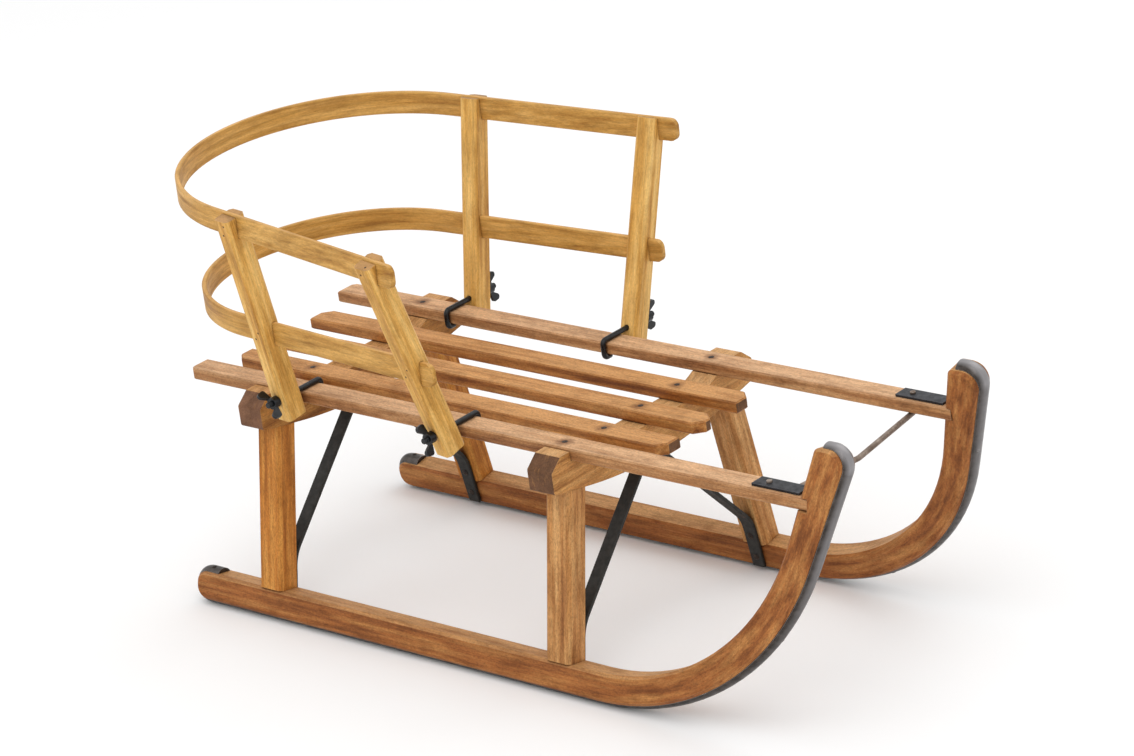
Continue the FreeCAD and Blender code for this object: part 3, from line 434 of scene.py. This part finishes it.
# %% Geometry Nodes
def new_group(name, inputs):
    """A geometry group with these named inputs: (name, socket type, default)."""
    group = bpy.data.node_groups.new(name, "GeometryNodeTree")
    sockets = group.interface
    sockets.new_socket("Geometry", in_out="INPUT", socket_type="NodeSocketGeometry")
    for label, kind, default in inputs:
        socket = sockets.new_socket(label, in_out="INPUT", socket_type=kind)
        if default is not None:
            socket.default_value = default
    sockets.new_socket("Geometry", in_out="OUTPUT", socket_type="NodeSocketGeometry")
    return group, add_node(group, "NodeGroupInput").outputs, add_node(group, "NodeGroupOutput")


def on_each_point(group, given, finish, head):
    """Puts head on each point, facing its way, with a random spin, as one real mesh."""
    facing = add_node(group, "GeometryNodeInputNamedAttribute", {"Name": "facing"},
                      data_type="FLOAT_VECTOR").outputs["Attribute"]
    aligned = add_node(group, "FunctionNodeAlignRotationToVector", {"Vector": facing},
                       axis="Z").outputs["Rotation"]
    spin = add_node(group, "FunctionNodeRandomValue", {"Max": math.tau, "Seed": given["Seed"]},
                    data_type="FLOAT")
    spin_out = next(item for item in spin.outputs if item.enabled)
    turn = add_node(group, "FunctionNodeAxisAngleToRotation",
                    {"Axis": (0, 0, 1), "Angle": spin_out}).outputs["Rotation"]
    rotation = add_node(group, "FunctionNodeRotateRotation",
                        {"Rotation": aligned, "Rotate By": turn},
                        rotation_space="LOCAL").outputs["Rotation"]
    placed = add_node(group, "GeometryNodeInstanceOnPoints",
                      {"Points": given["Geometry"], "Instance": head, "Rotation": rotation})
    real = add_node(group, "GeometryNodeRealizeInstances",
                    {"Geometry": placed.outputs["Instances"]}).outputs["Geometry"]
    coloured = add_node(group, "GeometryNodeSetMaterial",
                        {"Geometry": real, "Material": given["Material"]})
    group.links.new(coloured.outputs["Geometry"], finish.inputs["Geometry"])


def make_head_group():
    """A domed head with a slot cut across it."""
    group, given, finish = new_group("fixing_heads", (
        ("Radius", "NodeSocketFloat", 3.5 * MM), ("Dome", "NodeSocketFloat", 0.6 * MM),
        ("Slot", "NodeSocketFloat", 0.8 * MM), ("Seed", "NodeSocketInt", 3),
        ("Material", "NodeSocketMaterial", None)))
    ball = add_node(group, "GeometryNodeMeshUVSphere", {"Segments": 28, "Rings": 14,
                                                        "Radius": 1.0}).outputs["Mesh"]
    size = add_node(group, "ShaderNodeCombineXYZ",
                    {"X": given["Radius"], "Y": given["Radius"], "Z": given["Dome"]})
    dome = add_node(group, "GeometryNodeTransform",
                    {"Geometry": ball, "Scale": size.outputs["Vector"]}).outputs["Geometry"]
    width = add_node(group, "ShaderNodeCombineXYZ",
                     {"X": maths(group, "MULTIPLY", given["Radius"], 3.0), "Y": given["Slot"],
                      "Z": given["Dome"]}).outputs["Vector"]
    bar = add_node(group, "GeometryNodeMeshCube", {"Size": width}).outputs["Mesh"]
    lift = add_node(group, "ShaderNodeCombineXYZ", {"Z": given["Dome"]}).outputs["Vector"]
    raised = add_node(group, "GeometryNodeTransform", {"Geometry": bar, "Translation": lift})
    cut = add_node(group, "GeometryNodeMeshBoolean", {"Mesh 1": dome}, operation="DIFFERENCE")
    group.links.new(raised.outputs["Geometry"], cut.inputs["Mesh 2"])
    on_each_point(group, given, finish, cut.outputs["Mesh"])
    return group


def make_thread_group():
    """A row of fine rings back from each point: a bolt's thread."""
    group, given, finish = new_group("bolt_threads", (
        ("Radius", "NodeSocketFloat", 2.95 * MM), ("Wire", "NodeSocketFloat", 0.35 * MM),
        ("Pitch", "NodeSocketFloat", 1.0 * MM), ("Turns", "NodeSocketInt", 12),
        ("Seed", "NodeSocketInt", 1), ("Material", "NodeSocketMaterial", None)))
    loop = add_node(group, "GeometryNodeCurvePrimitiveCircle",
                    {"Radius": given["Radius"], "Resolution": 32}).outputs["Curve"]
    section = add_node(group, "GeometryNodeCurvePrimitiveCircle",
                       {"Radius": given["Wire"], "Resolution": 6}).outputs["Curve"]
    ring = add_node(group, "GeometryNodeCurveToMesh", {"Curve": loop, "Profile Curve": section})
    step = add_node(group, "ShaderNodeCombineXYZ",
                    {"Z": maths(group, "MULTIPLY", given["Pitch"], -1.0)}).outputs["Vector"]
    row = add_node(group, "GeometryNodeMeshLine",
                   {"Count": given["Turns"], "Start Location": (0, 0, -0.6 * MM),
                    "Offset": step}, mode="OFFSET").outputs["Mesh"]
    rings = add_node(group, "GeometryNodeInstanceOnPoints",
                     {"Points": row, "Instance": ring.outputs["Mesh"]}).outputs["Instances"]
    on_each_point(group, given, finish, rings)
    return group


def make_fixings(name, group, places, slot, sink=0.0, **values):
    """Runs a group on these (point, normal) places and keeps the result as a plain mesh."""
    points = bpy.data.meshes.new(name + "_points")
    points.from_pydata([spot - normal * sink for spot, normal in places], [], [])
    facing = points.attributes.new("facing", "FLOAT_VECTOR", "POINT")
    for item, (_, normal) in zip(facing.data, places):
        item.vector = normal
    host = bpy.data.objects.new(name + "_host", points)
    bpy.context.collection.objects.link(host)
    modifier = host.modifiers.new("fixings", "NODES")
    modifier.node_group = group
    for item in group.interface.items_tree:
        if item.item_type == "SOCKET" and item.in_out == "INPUT" and item.name in values:
            modifier[item.identifier] = values[item.name]
    host.update_tag()
    graph = bpy.context.evaluated_depsgraph_get()
    mesh = bpy.data.meshes.new_from_object(host.evaluated_get(graph), depsgraph=graph)
    mesh.name = name
    piece = bpy.data.objects.new(name, mesh)
    bpy.context.collection.objects.link(piece)
    bpy.data.objects.remove(host)
    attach(piece, "root")
    print(name, len(places), "places,", len(mesh.polygons), "faces")
    return piece


heads = make_head_group()
threads = make_thread_group()
make_fixings("slat_screws", heads, [spot for row in slat_screws.values() for spot in row],
             "black_iron", sink=0.3 * MM, Radius=3.6 * MM, Dome=0.7 * MM, Slot=0.9 * MM, Seed=5,
             Material=screw_iron)
make_fixings("stay_screws", heads, stay_screws, "black_iron", Radius=4.0 * MM, Dome=1.8 * MM,
             Slot=0.9 * MM, Seed=8, Material=screw_iron)
make_fixings("shoe_screws", heads, shoe_screws, "worn_steel", sink=0.3 * MM, Radius=2.8 * MM,
             Dome=0.7 * MM, Slot=0.7 * MM, Seed=2, Material=shoe_steel)
make_fixings("tab_nails", heads, tab_nails, "worn_steel", Radius=2.6 * MM, Dome=0.9 * MM,
             Slot=0.0, Seed=4, Material=nail_iron)
make_fixings("nails", heads, nails, "black_iron", sink=0.2 * MM, Radius=1.3 * MM,
             Dome=0.5 * MM, Slot=0.0, Seed=6, Material=nail_iron)
make_fixings("bolt_threads", threads, bolt_ends, "black_iron", Material=black_paint)


# %% [markdown]
# ## Give each board and bar its material
# The top faces painted paler as if lit from above, the end grain and the stains are where each
# piece's own place puts them.

# %% Dress the frame
def dress(name, material):
    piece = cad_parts[name]
    piece.data.materials.clear()
    piece.data.materials.append(material)


BEND_CENTRE = (149.5 * MM, 0.0, 291.0 * MM)
HORN_ANGLE = math.radians(71)
HOOPS = {"backrest_upper_hoop": (-272.8 * MM, 192.0 * MM),
         "backrest_lower_hoop": (-298.0 * MM, 165.0 * MM)}
METALS = (("runner_shoe", shoe_steel), ("horn_plate", plate_iron), ("pull_bar", rod_steel),
          ("front_stay", stay_iron), ("rear_stay", stay_iron), ("hook_bolt", black_paint),
          ("wing_nut", black_paint))


def wood_for(name, seed):
    """The wood of one node, or None where the node is metal."""
    side = 1 if middle(name).y > 0 else -1
    if name in ("runner_left", "runner_right"):
        grain = bent_grain(BEND_CENTRE, 290 * MM, "Z", "Y", 1, HORN_ANGLE)
        return wood(name + "_beech", RUNNER, grain, seed, dirt=0.65)
    if name.startswith("slat"):
        stains = [spot for spot, _ in slat_screws[name]]
        tones = OUTER_SLAT if "outer" in name else INNER_SLAT
        return wood(name + "_beech", tones, straight_grain((1, 0, 0)), seed, (1, 0, 0),
                    stains=stains)
    if name.endswith("yoke"):
        tones = FRONT_YOKE if "front" in name else REAR_YOKE
        return wood(name + "_beech", tones, straight_grain((0, 1, 0)), seed, (0, 1, 0), 0.45,
                    dirt=0.65)
    if name.startswith("leg"):
        up = (0, -side * math.sin(LEAN), math.cos(LEAN))
        tones = FRONT_LEG if "front" in name else REAR_LEG
        return wood(name + "_beech", tones, straight_grain(up), seed)
    if name.startswith("upright"):
        tilt = math.radians(18.0 if "front" in name else 10.2)
        up = (0, side * math.sin(tilt), math.cos(tilt))
        return wood(name + "_ash", UPRIGHT, straight_grain(up), seed, up, rough=0.42,
                    dirt=0.45, fleck_share=0.4)
    if name in HOOPS:
        centre_x, radius = HOOPS[name]
        grain = bent_grain((centre_x, 0, 0), radius, "Y", "Z", -1)
        return wood(name + "_ash", HOOP, grain, seed, rough=0.42, dirt=0.45, fleck_share=0.35)
    return None


for seed, name in enumerate(sorted(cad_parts)):
    material = wood_for(name, seed)
    if material is None:
        material = next(choice for word, choice in METALS if name.startswith(word))
    dress(name, material)
print("materials given to", len(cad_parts), "nodes")


# %% [markdown]
# ## Floor, light and camera
# A white floor and soft light from all round, with the key light high on the camera's side.

# %% Stage
def make_floor():
    bpy.ops.mesh.primitive_plane_add(size=40)
    floor = bpy.context.object
    floor.name = "floor"
    material, tree, shader, place = new_material("white_floor")
    shader.inputs["Base Color"].default_value = grey(0.93)
    shader.inputs["Roughness"].default_value = 1.0
    shader.inputs["Specular IOR Level"].default_value = 0.0
    floor.data.materials.append(material)


def make_light(name, place, power, size):
    lamp = bpy.data.lights.new(name, "AREA")
    lamp.energy = power
    lamp.size = size
    item = bpy.data.objects.new(name, lamp)
    item.location = place
    item.rotation_euler = (-Vector(place)).to_track_quat("-Z", "Y").to_euler()
    bpy.context.collection.objects.link(item)


CAMERA_PLACE = Vector((2.97484, -3.17377, 2.01638))
CAMERA_TARGET = Vector((-0.02659, 0.02568, 0.25978))
CAMERA_LENS = 139.795
CAMERA_ROLL = math.radians(-7.8593)


def make_camera():
    camera = bpy.data.cameras.new("camera")
    camera.lens = CAMERA_LENS
    camera.sensor_width = 36.0
    camera.clip_end = 100
    item = bpy.data.objects.new("camera", camera)
    bpy.context.collection.objects.link(item)
    look = (CAMERA_TARGET - CAMERA_PLACE).to_track_quat("-Z", "Y").to_matrix().to_4x4()
    item.matrix_world = (Matrix.Translation(CAMERA_PLACE) @ look
                         @ Matrix.Rotation(CAMERA_ROLL, 4, "Z"))
    bpy.context.scene.camera = item


def make_world():
    """Soft light from all round, which the camera and every reflection see as plain white."""
    world = bpy.data.worlds.new("studio")
    world.use_nodes = True
    tree = world.node_tree
    seen = add_node(tree, "ShaderNodeLightPath").outputs
    shown = maths(tree, "MAXIMUM", seen["Is Camera Ray"],
                  maths(tree, "MAXIMUM", seen["Is Glossy Ray"], seen["Is Transmission Ray"]))
    background = tree.nodes["Background"]
    background.inputs["Color"].default_value = grey(1.0)
    tree.links.new(choose(tree, shown, WORLD_STRENGTH, 1.0), background.inputs["Strength"])
    bpy.context.scene.world = world


WORLD_STRENGTH = 0.85
make_floor()
make_light("key", (1.5, -2.0, 3.6), 52, 3.5)
make_light("fill", (-3.0, -1.5, 2.5), 22, 3.5)
make_light("back", (0.5, 3.0, 3.2), 30, 3.5)
make_camera()
make_world()
bpy.context.scene.view_settings.view_transform = "Standard"
